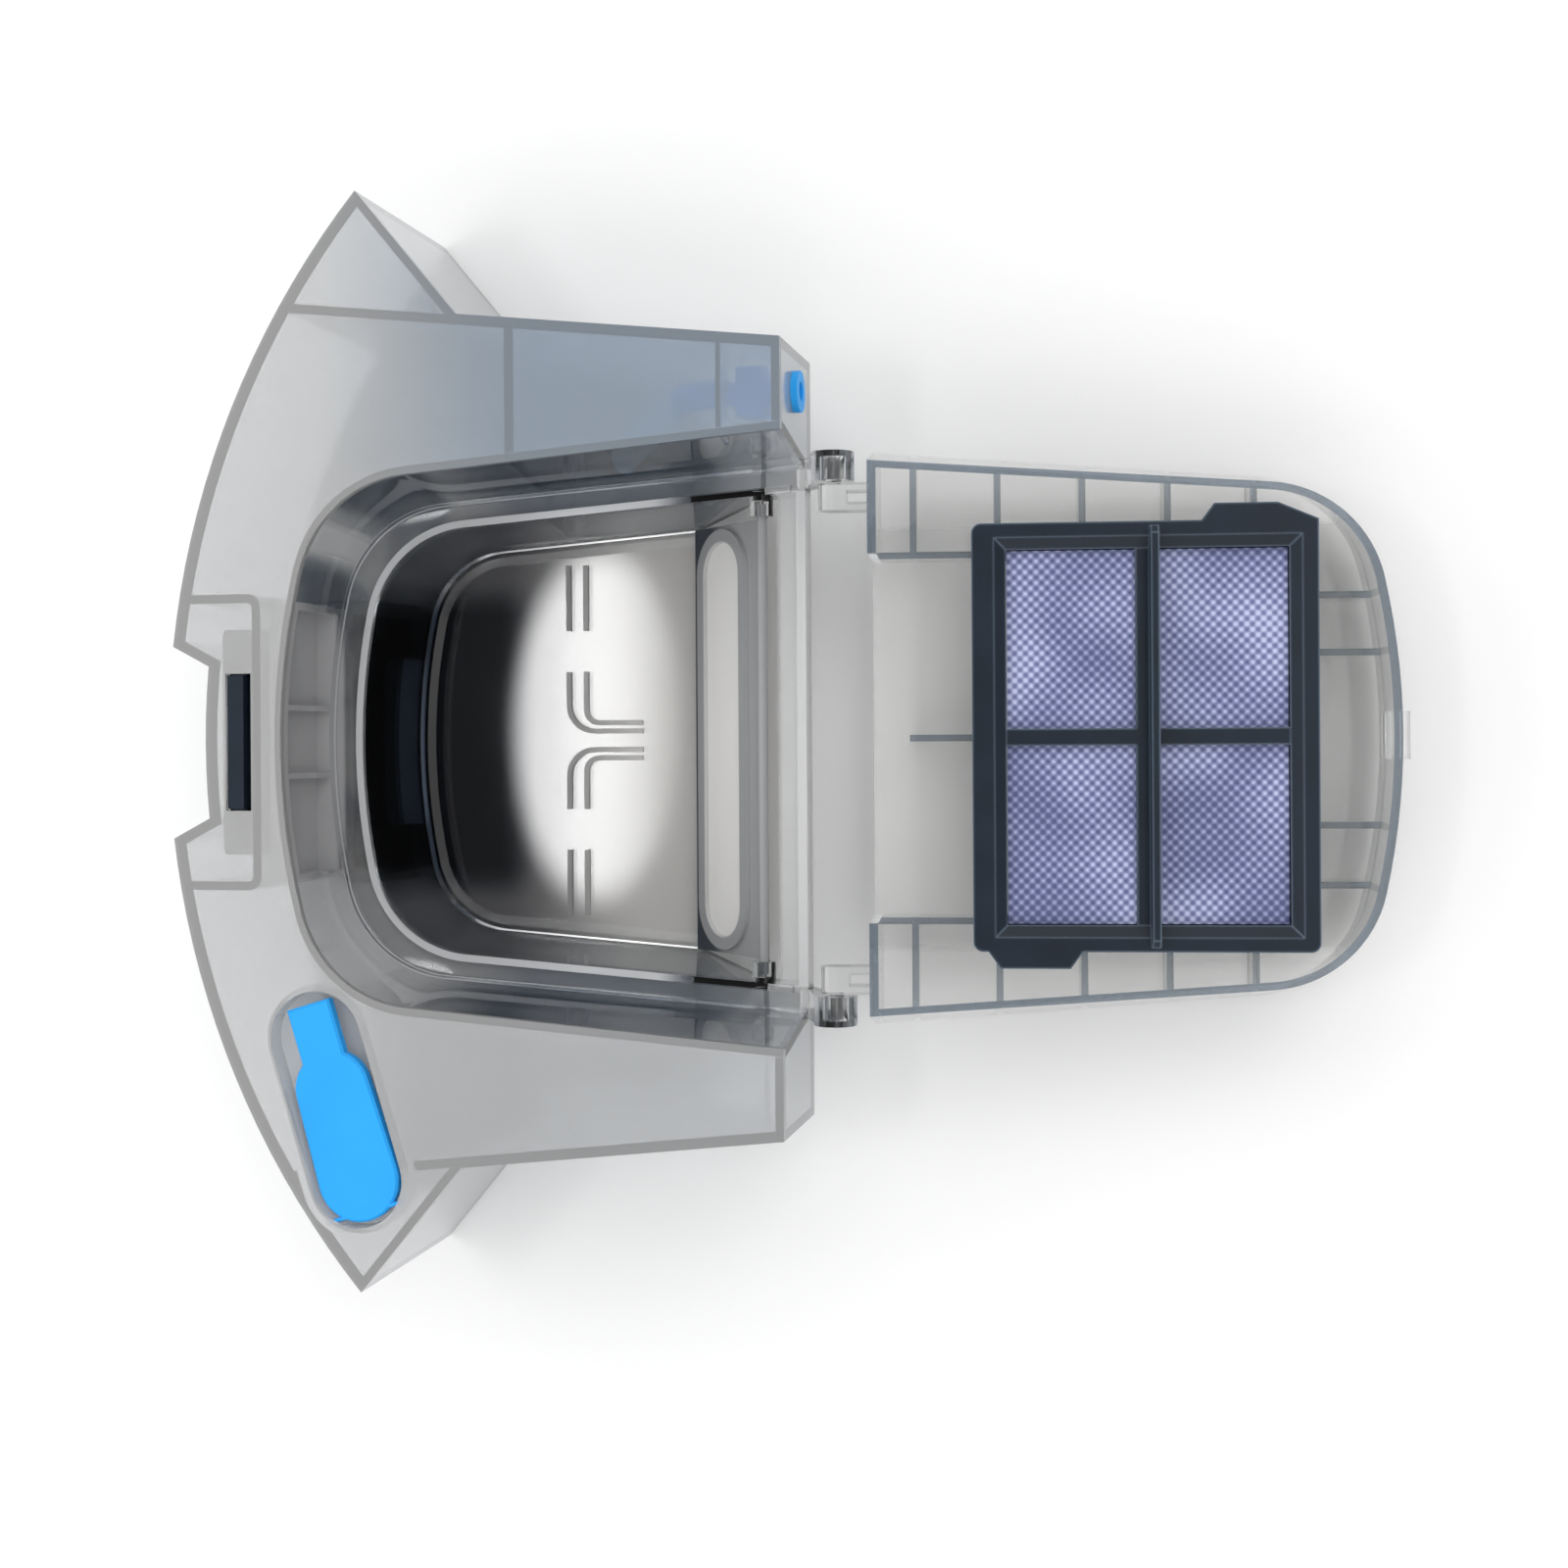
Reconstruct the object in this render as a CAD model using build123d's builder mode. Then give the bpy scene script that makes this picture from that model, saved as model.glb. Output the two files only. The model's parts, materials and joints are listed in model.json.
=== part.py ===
from build123d import *
from math import cos, radians, sin, sqrt, tan
import os

# Combined dust bin and water tank of a robot vacuum cleaner, lid open.
# Millimetres, +Z up, the tank stands on Z = 0, its front and the lid hinge point to +X.

# Tank outline: the rear follows the round rim of the machine
rim_radius = 175.0
rear_x = -70.0
tip_y = 115.0
shoulder_x = -4.8
shoulder_y = 88.2
front_x = 63.5
front_y = 80.5
tank_height = 51.0
cover_thickness = 2.0
tank_wall = 2.0
tank_floor = 1.8

# Walls inside the tank: baffle and rib of the wing with the water outlet
baffle_x = 6.2
baffle_low = 8.0
wing_rib_x = 50.5
wing_rib_thickness = 1.0
wing_rib_depth = 7.0

# Finger notch in the rear rim and the dry pocket behind it
notch_half_outer = 20.4
notch_half_inner = 16.1
notch_depth = 8.6
pocket_half = 31.4
pocket_front_x = -49.4
pocket_corner = 3.0
pocket_wall = 1.9

# Raised underside below the front wall
slope_foot_x = 34.5
slope_angle = 45.0
front_lip_z = 19.5

# Lid hinge
hinge_x = 71.0
hinge_z = 34.0
lid_droop = 6.5
boss_radius = 4.5
boss_inner_y = 53.1
boss_width = 6.1
boss_end_wall = 1.0
bracket_margin = 0.5
hinge_pin_radius = 1.8
pin_clearance = 0.06
pin_end_gap = 0.4
arm_inner_y = 47.0
arm_gap = 0.5
arm_radius = 3.0
arm_slot = 2.5

# U-shaped contours: half width at the hinge line, half width at the far corners,
# distance of the far end from the hinge line and radius of the far corners
recess_top = (62.6, 54.0, 115.5, 26.0)
recess_foot = (57.6, 50.0, 114.0, 25.0)
mouth = (53.0, 45.5, 107.5, 23.0)
bin_floor = (49.5, 42.0, 102.5, 19.0)
bin_wall = 1.8
bin_bottom = 1.8
bin_bevel = 2.5
bin_bevel_foot = 0.75
ledge_z = 25.5
lip_width = 1.5
lip_height = 1.2
bin_gap = 0.15
front_apron = 2.0

# Ribs on the floor of the bin: two bent pairs in the middle and a straight pair on each side
floor_rib_x = (3.5, 7.6)
floor_rib_foot = (2.1, 4.0)
floor_rib_bend = (6.0, 3.0)
floor_rib_width = 1.2
floor_rib_height = 0.5
bent_rib_half = 15.7
bent_rib_end_x = 20.9
straight_rib_start = 25.0
straight_rib_length = 15.0

# Latch pocket in the rear wall of the recess
latch_half = 28.0
latch_depth = 1.7
latch_back = 1.3
latch_rise = 3.5
latch_top_gap = 1.6
tongue_half = 7.3
tongue_rib = 1.2

# Lid
lid_clearance = 0.6
lid_wall = 1.8
lid_plate = 2.0
lid_seat_gap = 0.4
rib_thickness = 1.4
side_rib_pitch = 17.5
side_rib_first = 16.4
side_rib_count = 5
far_rib_y = (-30.7, -18.4, 17.1, 28.9)
centre_rib_length = 13.0
latch_tab_half = 4.8
latch_tab_reach = 2.3
latch_tab_height = 5.0
latch_tab_top = 3.5

# Filter
filter_near = 28.5
filter_length = 69.0
filter_half = 43.3
filter_depth = 12.0
filter_corner = 2.0
border_near = 6.9
border_far = 5.6
border_side = 5.3
border_bevel = 2.4
filter_grid = 3.0
grid_sink = 1.4
cross_bar = 4.5
middle_bar = 3.5
filter_below_rim = 1.2
fin_thickness = 1.7
fin_rise = 2.6
fin_end_gap = 1.0
fin_chamfer = 1.5
ear_reach = 3.4
ear_slant = 2.5
far_ear_length = 23.0
far_ear_corner = 8.0
near_ear_start = 3.0
near_ear_length = 19.0
seat_inset = 5.1
mesh_thickness = 0.6
mesh_gap = 0.15
media_clearance = 0.3
pleat_pitch = 4.0
pleat_sheet = 0.5
gasket_thickness = 1.0
gasket_width = 3.0

# Inlet flap
inlet_half = 43.5
inlet_height = 13.0
flap_half = 46.8
flap_length = 26.5
flap_thickness = 1.6
flap_gap = 0.6
flap_axis_height = 23.0
flap_barrel = 1.1
flap_pin_radius = 1.0
flap_pin_length = 3.2
flap_side_gap = 0.6
flap_lug_radius = 2.5
flap_ring_length = 92.0
flap_ring_height = 20.0
flap_ring_width = 2.8
flap_ring_rise = 0.9

# Filler plug and its pocket in the cover
plug_axis_x = -25.85
plug_axis_y = -98.3
plug_heading = 107.0
plug_pocket_radius = 10.1
plug_pocket_length = 30.5
plug_pocket_depth = 4.8
plug_pocket_wall = 1.3
plug_axis_inset = 3.1
plug_edge_gap = 1.1
plug_lobe = 19.4
plug_lobe_radius = 8.3
plug_tab_end = 45.0
plug_tab_half = 4.9
plug_plate = 2.4
plug_chamfer = 0.5
plug_axis_depth = 0.5
plug_sink = 0.6
plug_pin_radius = 0.45
plug_pin_half = 8.7
plug_pin_end_gap = 0.4
bung_setback = 2.0
bung_radius = 5.6
bung_tip_radius = 4.6
bung_length = 5.2
filler_clearance = 0.6
partition_clearance = 1.5

# Water outlet in the front wall, hose inside the tank
outlet_y = 71.7
outlet_z = 36.0
outlet_bore = 2.0
seal_neck = 3.3
seal_flange = 4.3
seal_flange_thickness = 1.4
seal_clearance = 0.1
connector_length = 13.0
connector_radius = 2.6
collar_start = 2.5
collar_length = 5.5
collar_half = 5.0
collar_corner = 1.0
hose_radius = 3.0
hose_lead_length = 7.0
hose_bend_radius = 12.0
hose_end_x = 17.5
hose_end_y = 63.5
hose_floor_gap = 2.5

# Release slider behind the finger notch, with a plate behind the rear wall of the bin
slider_half = 24.0
slider_thickness = 5.0
slider_gap = 0.4
slider_corner = 2.0
slider_window_half = 17.0
slider_window_height = 11.0
slider_window_depth = 2.5
slider_window_corner = 4.0
slider_travel = 1.4
plate_half = 28.6
plate_thickness = 2.2
plate_high = 20.0
plate_window_half = 19.5
plate_window_high = 13.0
plate_window_corner = 4.0
slider_arm_y = 23.6
slider_arm_width = 6.0
slider_arm_height = 2.4
hook_offset = 1.5
hook_slot_length = 5.7
hook_slot_half = 14.5
hook_length = 3.6
press_half = 11.0
press_low = 14.0
press_high = 40.0
press_corner = 4.0
press_reach = 2.0

# Worked-out places
rim_centre_x = rim_radius + rear_x
body_height = tank_height - cover_thickness
slope = radians(slope_angle)
near = hinge_x - front_x
rim_axis = hinge_x - rim_centre_x
notch_x = rear_x + notch_depth
notch_corner_x = rim_centre_x - sqrt((rim_centre_x - notch_x) ** 2 - notch_half_inner**2)
side_fall = (front_y - shoulder_y) / (front_x - shoulder_x)
lid_outer = hinge_z - tank_height
lid_rim = hinge_z - ledge_z - lid_seat_gap
reach_past = 20.0
lip_start = near + lid_wall + 2 * lid_clearance
latch_low = ledge_z + latch_rise
latch_high = body_height - latch_top_gap
latch_top_x = hinge_x - recess_top[2]
outlet_half = filter_half - seat_inset
slider_base_z = tank_floor + slider_gap
hook_x = (pocket_front_x + notch_x) / 2 + hook_offset

# Distance from the hinge line is X in both of these planes, towards the far end of the lid
TANK = Plane(origin=(hinge_x, 0, 0), x_dir=(-1, 0, 0), z_dir=(0, 0, 1))
LID = Plane(
    origin=(hinge_x, 0, hinge_z),
    x_dir=(cos(radians(lid_droop)), 0, -sin(radians(lid_droop))),
    z_dir=(sin(radians(lid_droop)), 0, cos(radians(lid_droop))),
)

# The plug's plane starts on its turning axis and points along the plug
PLUG = Plane(
    origin=(plug_axis_x, plug_axis_y, tank_height - plug_sink - plug_axis_depth),
    x_dir=(cos(radians(plug_heading)), sin(radians(plug_heading)), 0),
    z_dir=(0, 0, 1),
)
plug_end = plug_pocket_radius - plug_axis_inset
plug_low = plug_axis_depth - plug_plate
pocket_middle = plug_end + plug_pocket_length / 2
pocket_drop = tank_height - plug_pocket_depth - PLUG.origin.Z
bung_place = plug_end + plug_lobe - bung_setback


def rim_point(y):
    """Point of the rear rim at a given Y."""
    return (rim_centre_x - sqrt(rim_radius**2 - y**2), y)


def tank_outline(plane, inset=0.0):
    """Outline of the tank seen from above, with the finger notch."""
    tip = rim_point(tip_y)
    far_tip = (tip[0], -tip_y)
    notch = rim_point(notch_half_outer)
    far_notch = (notch[0], -notch_half_outer)
    halfway = (tip_y + notch_half_outer) / 2
    with BuildSketch(plane) as outline:
        with BuildLine():
            ThreePointArc(notch, rim_point(halfway), tip)
            Polyline(
                tip,
                (shoulder_x, shoulder_y),
                (front_x, front_y),
                (front_x, -front_y),
                (shoulder_x, -shoulder_y),
                far_tip,
            )
            ThreePointArc(far_tip, rim_point(-halfway), far_notch)
            Line(far_notch, (notch_corner_x, -notch_half_inner))
            ThreePointArc(
                (notch_corner_x, -notch_half_inner),
                (notch_x, 0),
                (notch_corner_x, notch_half_inner),
            )
            Line((notch_corner_x, notch_half_inner), notch)
        make_face()
        if inset:
            offset(amount=-inset, kind=Kind.INTERSECTION, mode=Mode.REPLACE)
    return outline.sketch


def u_contour(plane, contour, near_end, grow=0.0):
    """U shape with straight flaring sides and a far end that follows the rim."""
    half_hinge, half_far, far, corner = (value + grow for value in contour)
    corner_x = rim_axis + sqrt((far - rim_axis) ** 2 - half_far**2)
    half_near = half_hinge - (half_hinge - half_far) * near_end / corner_x
    with BuildSketch(plane) as shape:
        with BuildLine():
            Polyline(
                (corner_x, half_far),
                (near_end, half_near),
                (near_end, -half_near),
                (corner_x, -half_far),
            )
            ThreePointArc((corner_x, -half_far), (far, 0), (corner_x, half_far))
        make_face()
        fillet(shape.vertices().group_by(Axis.X)[-1], radius=corner)
    return shape.sketch.face()


def under_cut(skin):
    """Space below the raised front, a skin thickness larger on the tank's side."""
    shelf = front_lip_z + skin
    foot = slope_foot_x - skin / sin(slope)
    with BuildPart() as cut:
        with BuildSketch(Plane.XZ):
            Polygon(
                (foot - reach_past / tan(slope), -reach_past),
                (foot + shelf / tan(slope), shelf),
                (front_x + reach_past, shelf),
                (front_x + reach_past, -reach_past),
                align=None,
            )
        extrude(amount=2 * front_y, both=True)
    return cut.part


def bin_envelope(near_end, grow=0.0):
    """Outside of the bin and of the lid recess above it."""
    skin = bin_wall + grow
    apron_half = recess_foot[0] + skin
    with BuildPart() as envelope:
        loft(
            sections=(
                u_contour(TANK.offset(-grow), bin_floor, near_end, skin),
                u_contour(TANK.offset(ledge_z), mouth, near_end, skin),
            ),
            ruled=True,
        )
        loft(
            sections=(
                u_contour(TANK.offset(ledge_z - skin), recess_foot, near_end, skin),
                u_contour(TANK.offset(body_height), recess_top, near_end, skin),
            ),
            ruled=True,
        )
        with BuildSketch(Plane.XY):
            with Locations((hinge_x - near_end, 0)):
                Rectangle(
                    front_apron + grow + near - near_end,
                    2 * apron_half,
                    align=(Align.MAX, Align.CENTER),
                )
        extrude(amount=ledge_z)
    return envelope.part


os.makedirs("parts", exist_ok=True)

# Tank body: outer walls and floor, open inside, with the walls that divide it
partition_x = rear_x - reach_past
partition_y = shoulder_y + side_fall * (partition_x - shoulder_x)
dry_length = hinge_x - bin_floor[2] - pocket_front_x
slot_height = slider_base_z - tank_floor + slider_arm_height + slider_gap

with BuildPart() as water_space:
    extrude(tank_outline(Plane.XY.offset(tank_floor), tank_wall), amount=tank_height)
    add(under_cut(tank_wall), mode=Mode.SUBTRACT)
    # The long sides run on to the rear rim and close off the wing tips
    with BuildSketch(Plane.XY):
        for side in (-1, 1):
            Polygon(
                (shoulder_x, side * shoulder_y),
                (partition_x, side * partition_y),
                (partition_x, side * (partition_y - tank_wall)),
                (shoulder_x, side * (shoulder_y - tank_wall)),
                align=None,
            )
    extrude(amount=tank_height, mode=Mode.SUBTRACT)
    with BuildSketch(Plane.XY.offset(baffle_low)):
        with Locations((baffle_x, 0)):
            Rectangle(tank_wall, shoulder_y, align=(Align.CENTER, Align.MIN))
    extrude(amount=tank_height, mode=Mode.SUBTRACT)
    with BuildSketch(Plane.XY.offset(body_height - wing_rib_depth)):
        with Locations((wing_rib_x, 0)):
            Rectangle(wing_rib_thickness, shoulder_y, align=(Align.CENTER, Align.MIN))
    extrude(amount=tank_height, mode=Mode.SUBTRACT)
    # Room for the plug's pocket and bung
    with BuildSketch(PLUG.offset(plug_low - bung_length - partition_clearance)):
        with Locations((pocket_middle, 0)):
            SlotCenterToCenter(
                plug_pocket_length,
                2 * (plug_pocket_radius + plug_pocket_wall + partition_clearance),
            )
    extrude(amount=tank_height)
    # Dry pocket of the release slider, which reaches to the bin below the recess
    with BuildSketch(Plane.XY) as pocket_ring:
        with Locations((pocket_front_x, 0)):
            RectangleRounded(
                2 * pocket_half,
                2 * pocket_half,
                pocket_corner,
                align=(Align.MAX, Align.CENTER),
            )
        offset(amount=-pocket_wall, mode=Mode.SUBTRACT)
    extrude(amount=tank_height, mode=Mode.SUBTRACT)
    with BuildSketch(Plane.XY):
        for side in (-1, 1):
            with Locations((pocket_front_x - pocket_corner, side * (pocket_half - pocket_wall / 2))):
                Rectangle(dry_length + pocket_corner, pocket_wall, align=(Align.MIN, Align.CENTER))
    extrude(amount=ledge_z - bin_wall, mode=Mode.SUBTRACT)
    with BuildSketch(Plane.XY.offset(tank_floor)):
        for side in (-1, 1):
            with Locations((pocket_front_x - pocket_wall / 2, side * slider_arm_y)):
                Rectangle(2 * pocket_wall, slider_arm_width + 2 * slider_gap)
    extrude(amount=slot_height)

with BuildPart() as tank_body:
    extrude(tank_outline(Plane.XY), amount=body_height)
    add(under_cut(0), mode=Mode.SUBTRACT)
    add(water_space.part, mode=Mode.SUBTRACT)
    add(bin_envelope(-reach_past, bin_gap), mode=Mode.SUBTRACT)
    with BuildSketch(Plane.YZ.offset(front_x)):
        with Locations((outlet_y, outlet_z)):
            Circle(seal_neck + seal_clearance)
    extrude(amount=-2 * tank_wall, mode=Mode.SUBTRACT)
    with BuildSketch(Plane.YZ.offset(notch_x)):
        with Locations((0, (press_low + press_high) / 2)):
            RectangleRounded(
                2 * (press_half + slider_gap),
                press_high - press_low + 2 * slider_gap,
                press_corner + slider_gap,
            )
    extrude(amount=2 * tank_wall, both=True, mode=Mode.SUBTRACT)
tank_body.part.label = "tank_body"
export_step(tank_body.part, "parts/tank_body.step")

# Dust bin: floor, sloping walls, ledge and the walls of the lid recess, with hinge bosses
flap_inside = (-sin(slope), 0, cos(slope))
flap_lift = flap_gap + flap_thickness / 2
flap_x = slope_foot_x - tank_wall / sin(slope) + flap_axis_height / tan(slope)
flap_axis = Vector(flap_x, 0, flap_axis_height) + flap_lift * Vector(*flap_inside)
FLAP = Plane(origin=flap_axis, x_dir=(0, 1, 0), z_dir=flap_inside)
SLOPE = Plane(
    origin=(slope_foot_x + front_lip_z / tan(slope) / 2, 0, front_lip_z / 2),
    x_dir=(0, 1, 0),
    z_dir=flap_inside,
)

bin_near = near + front_apron
bevel_share = bin_bevel / (ledge_z - bin_bottom)
bevel_top = [low + (high - low) * bevel_share for low, high in zip(bin_floor, mouth)]

with BuildPart() as bin_space:
    # The edge of the floor is eased in two steps
    loft(
        sections=(
            u_contour(TANK.offset(bin_bottom), bin_floor, bin_near, -bin_bevel),
            u_contour(TANK.offset(bin_bottom + bin_bevel_foot), bin_floor, bin_near, -bin_bevel_foot),
            u_contour(TANK.offset(bin_bottom + bin_bevel), bevel_top, bin_near),
            u_contour(TANK.offset(ledge_z), mouth, bin_near),
        ),
        ruled=True,
    )
    add(under_cut(tank_wall), mode=Mode.SUBTRACT)

with BuildPart() as dust_bin:
    add(bin_envelope(near))
    with BuildSketch(Plane.XY.offset(latch_low - latch_back)):
        with Locations((latch_top_x - latch_depth - latch_back, 0)):
            Rectangle(
                3 * latch_depth,
                2 * (latch_half + latch_back),
                align=(Align.MIN, Align.CENTER),
            )
    extrude(amount=latch_high - latch_low + 2 * latch_back)
    add(under_cut(0), mode=Mode.SUBTRACT)
    loft(
        sections=(
            u_contour(TANK.offset(ledge_z), recess_foot, -reach_past),
            u_contour(TANK.offset(body_height), recess_top, -reach_past),
        ),
        ruled=True,
        mode=Mode.SUBTRACT,
    )
    extrude(u_contour(TANK.offset(ledge_z), mouth, lip_start, lip_width), amount=lip_height)
    extrude(u_contour(TANK.offset(ledge_z), mouth, near), amount=lip_height, mode=Mode.SUBTRACT)
    add(bin_space.part, mode=Mode.SUBTRACT)
    with BuildSketch(Plane.XY.offset(latch_low)):
        with Locations((latch_top_x - latch_depth, 0)):
            Rectangle(4 * latch_depth, 2 * latch_half, align=(Align.MIN, Align.CENTER))
        with Locations((latch_top_x, -tongue_half), (latch_top_x, tongue_half)):
            Rectangle(4 * latch_depth, tongue_rib, mode=Mode.SUBTRACT)
    extrude(amount=latch_high - latch_low, mode=Mode.SUBTRACT)
    with BuildSketch(SLOPE):
        SlotOverall(2 * inlet_half, inlet_height)
    extrude(amount=2 * tank_wall, both=True, mode=Mode.SUBTRACT)
    # Ribs on the floor
    for side in (-1, 1):
        for rib_x, foot, bend in zip(floor_rib_x, floor_rib_foot, floor_rib_bend):
            with BuildSketch(Plane.XY.offset(bin_bottom)):
                with BuildLine():
                    FilletPolyline(
                        (rib_x, side * bent_rib_half),
                        (rib_x, side * foot),
                        (bent_rib_end_x, side * foot),
                        radius=bend,
                    )
                trace(line_width=floor_rib_width)
                with Locations((rib_x, side * (straight_rib_start + straight_rib_length / 2))):
                    Rectangle(floor_rib_width, straight_rib_length)
            extrude(amount=floor_rib_height)
    for side in (-1, 1):
        # Hinge boss with its bracket on the front apron
        with BuildSketch(Plane.XZ.offset(-side * boss_inner_y)):
            with BuildLine():
                Polyline(
                    (hinge_x, hinge_z + boss_radius),
                    (hinge_x - boss_radius, hinge_z),
                    (front_x, ledge_z - bracket_margin),
                    (front_x, front_lip_z + bracket_margin),
                    (hinge_x + boss_radius, hinge_z),
                    close=True,
                )
            make_face()
            with Locations((hinge_x, hinge_z)):
                Circle(boss_radius)
        extrude(amount=-side * boss_width)
        with BuildSketch(Plane.XZ.offset(-side * boss_inner_y)):
            with Locations((hinge_x, hinge_z)):
                Circle(hinge_pin_radius + pin_clearance)
        extrude(amount=-side * (boss_width - boss_end_wall), mode=Mode.SUBTRACT)
        # Lug for the pin of the inlet flap
        lug_y = flap_half + flap_side_gap
        with BuildSketch(Plane.XZ.offset(-side * lug_y)):
            with Locations((flap_axis.X, flap_axis.Z)):
                Circle(flap_lug_radius)
        extrude(amount=-side * (mouth[0] - lug_y))
        with BuildSketch(Plane.XZ.offset(-side * lug_y)):
            with Locations((flap_axis.X, flap_axis.Z)):
                Circle(flap_pin_radius + pin_clearance)
        extrude(amount=-side * flap_pin_length, mode=Mode.SUBTRACT)
dust_bin.part.label = "dust_bin"
export_step(dust_bin.part, "parts/dust_bin.step")

# Cover: frosted top plate with the plug pocket and the hook slot
with BuildPart() as tank_cover:
    extrude(tank_outline(Plane.XY.offset(body_height)), amount=cover_thickness)
    extrude(
        u_contour(TANK.offset(body_height), recess_top, -reach_past),
        amount=cover_thickness,
        mode=Mode.SUBTRACT,
    )
    with BuildSketch(Plane.XY.offset(body_height)):
        with Locations((hook_x, 0)):
            Rectangle(hook_slot_length, 2 * hook_slot_half)
    extrude(amount=cover_thickness, mode=Mode.SUBTRACT)
    # Pocket for the filler plug, sunk below the plate
    with BuildSketch(PLUG.offset(pocket_drop - cover_thickness)):
        with Locations((pocket_middle, 0)):
            SlotCenterToCenter(plug_pocket_length, 2 * (plug_pocket_radius + plug_pocket_wall))
    extrude(amount=plug_pocket_depth + cover_thickness)
    with BuildSketch(PLUG.offset(pocket_drop)):
        with Locations((pocket_middle, 0)):
            SlotCenterToCenter(plug_pocket_length, 2 * plug_pocket_radius)
    extrude(amount=plug_pocket_depth, mode=Mode.SUBTRACT)
    with BuildSketch(PLUG.offset(pocket_drop)):
        with Locations((bung_place, 0)):
            Circle(bung_radius + filler_clearance)
    extrude(amount=-cover_thickness, mode=Mode.SUBTRACT)
    with BuildSketch(Plane(origin=PLUG.origin, x_dir=PLUG.x_dir, z_dir=PLUG.y_dir)):
        Circle(plug_pin_radius + pin_clearance)
    extrude(amount=plug_pin_half + plug_pin_end_gap, both=True, mode=Mode.SUBTRACT)
tank_cover.part.label = "tank_cover"
export_step(tank_cover.part, "parts/tank_cover.step")

# Filler plug: soft bung on a flat obround tab, turning on a moulded bead at its far end
with BuildPart() as filler_plug:
    with BuildSketch(PLUG.offset(plug_low)) as plug_face:
        with Locations((plug_end, 0)):
            Circle(plug_pocket_radius - plug_edge_gap)
        with Locations((plug_end + plug_lobe, 0)):
            Circle(plug_lobe_radius)
        make_hull()
        with Locations((plug_tab_end, 0)):
            Rectangle(
                plug_tab_end - plug_end - plug_lobe,
                2 * plug_tab_half,
                align=(Align.MAX, Align.CENTER),
            )
    extrude(amount=plug_plate)
    chamfer(filler_plug.faces().sort_by(Axis.Z)[-1].edges(), length=plug_chamfer)
    with BuildSketch(PLUG.offset(plug_low)) as bung_root:
        with Locations((bung_place, 0)):
            Circle(bung_radius)
    with BuildSketch(PLUG.offset(plug_low - bung_length)) as bung_tip:
        with Locations((bung_place, 0)):
            Circle(bung_tip_radius)
    loft()
    with BuildSketch(Plane(origin=PLUG.origin, x_dir=PLUG.x_dir, z_dir=PLUG.y_dir)):
        Circle(plug_pin_radius)
    extrude(amount=plug_pin_half, both=True)
filler_plug.part.label = "filler_plug"
export_step(filler_plug.part, "parts/filler_plug.step")

# Lid: shallow tray with a rib grid, hinge arms and a latch tab, drawn in its open place
filter_top = lid_rim - filter_below_rim
filter_low = filter_top - filter_depth
filter_far = filter_near + filter_length
seat_top = filter_low - gasket_thickness
lid_far = recess_foot[2] - lid_clearance
lid_inset = -lid_clearance - lid_wall

with BuildPart() as lid_space:
    loft(
        sections=(
            u_contour(LID.offset(lid_outer + lid_plate), recess_top, near + lid_wall, lid_inset),
            u_contour(LID.offset(lid_rim + lid_wall), recess_foot, near + lid_wall, lid_inset),
        ),
        ruled=True,
    )

with BuildPart() as lid_ribs:
    with BuildSketch(LID.offset(lid_outer)):
        # Long walls of the clean air passage and the wall that closes it
        for side in (-1, 1):
            with Locations((near, side * outlet_half)):
                Rectangle(filter_far - near, rib_thickness, align=(Align.MIN, Align.CENTER))
        with Locations((filter_far, 0)):
            Rectangle(rib_thickness, 2 * outlet_half + rib_thickness, align=(Align.MAX, Align.CENTER))
        with Locations((filter_near - centre_rib_length, 0)):
            Rectangle(centre_rib_length, rib_thickness, align=(Align.MIN, Align.CENTER))
        # Ribs between the passage and the side walls, and at the far end
        side_rib_length = recess_top[0] - outlet_half
        for index in range(side_rib_count):
            for side in (-1, 1):
                rib_middle = side * (outlet_half + side_rib_length / 2)
                with Locations((side_rib_first + index * side_rib_pitch, rib_middle)):
                    Rectangle(rib_thickness, side_rib_length)
        for rib_y in far_rib_y:
            with Locations((filter_far, rib_y)):
                Rectangle(recess_top[2] - filter_far, rib_thickness, align=(Align.MIN, Align.CENTER))
    extrude(amount=seat_top - lid_outer)
    add(lid_space.part, mode=Mode.INTERSECT)

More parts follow.
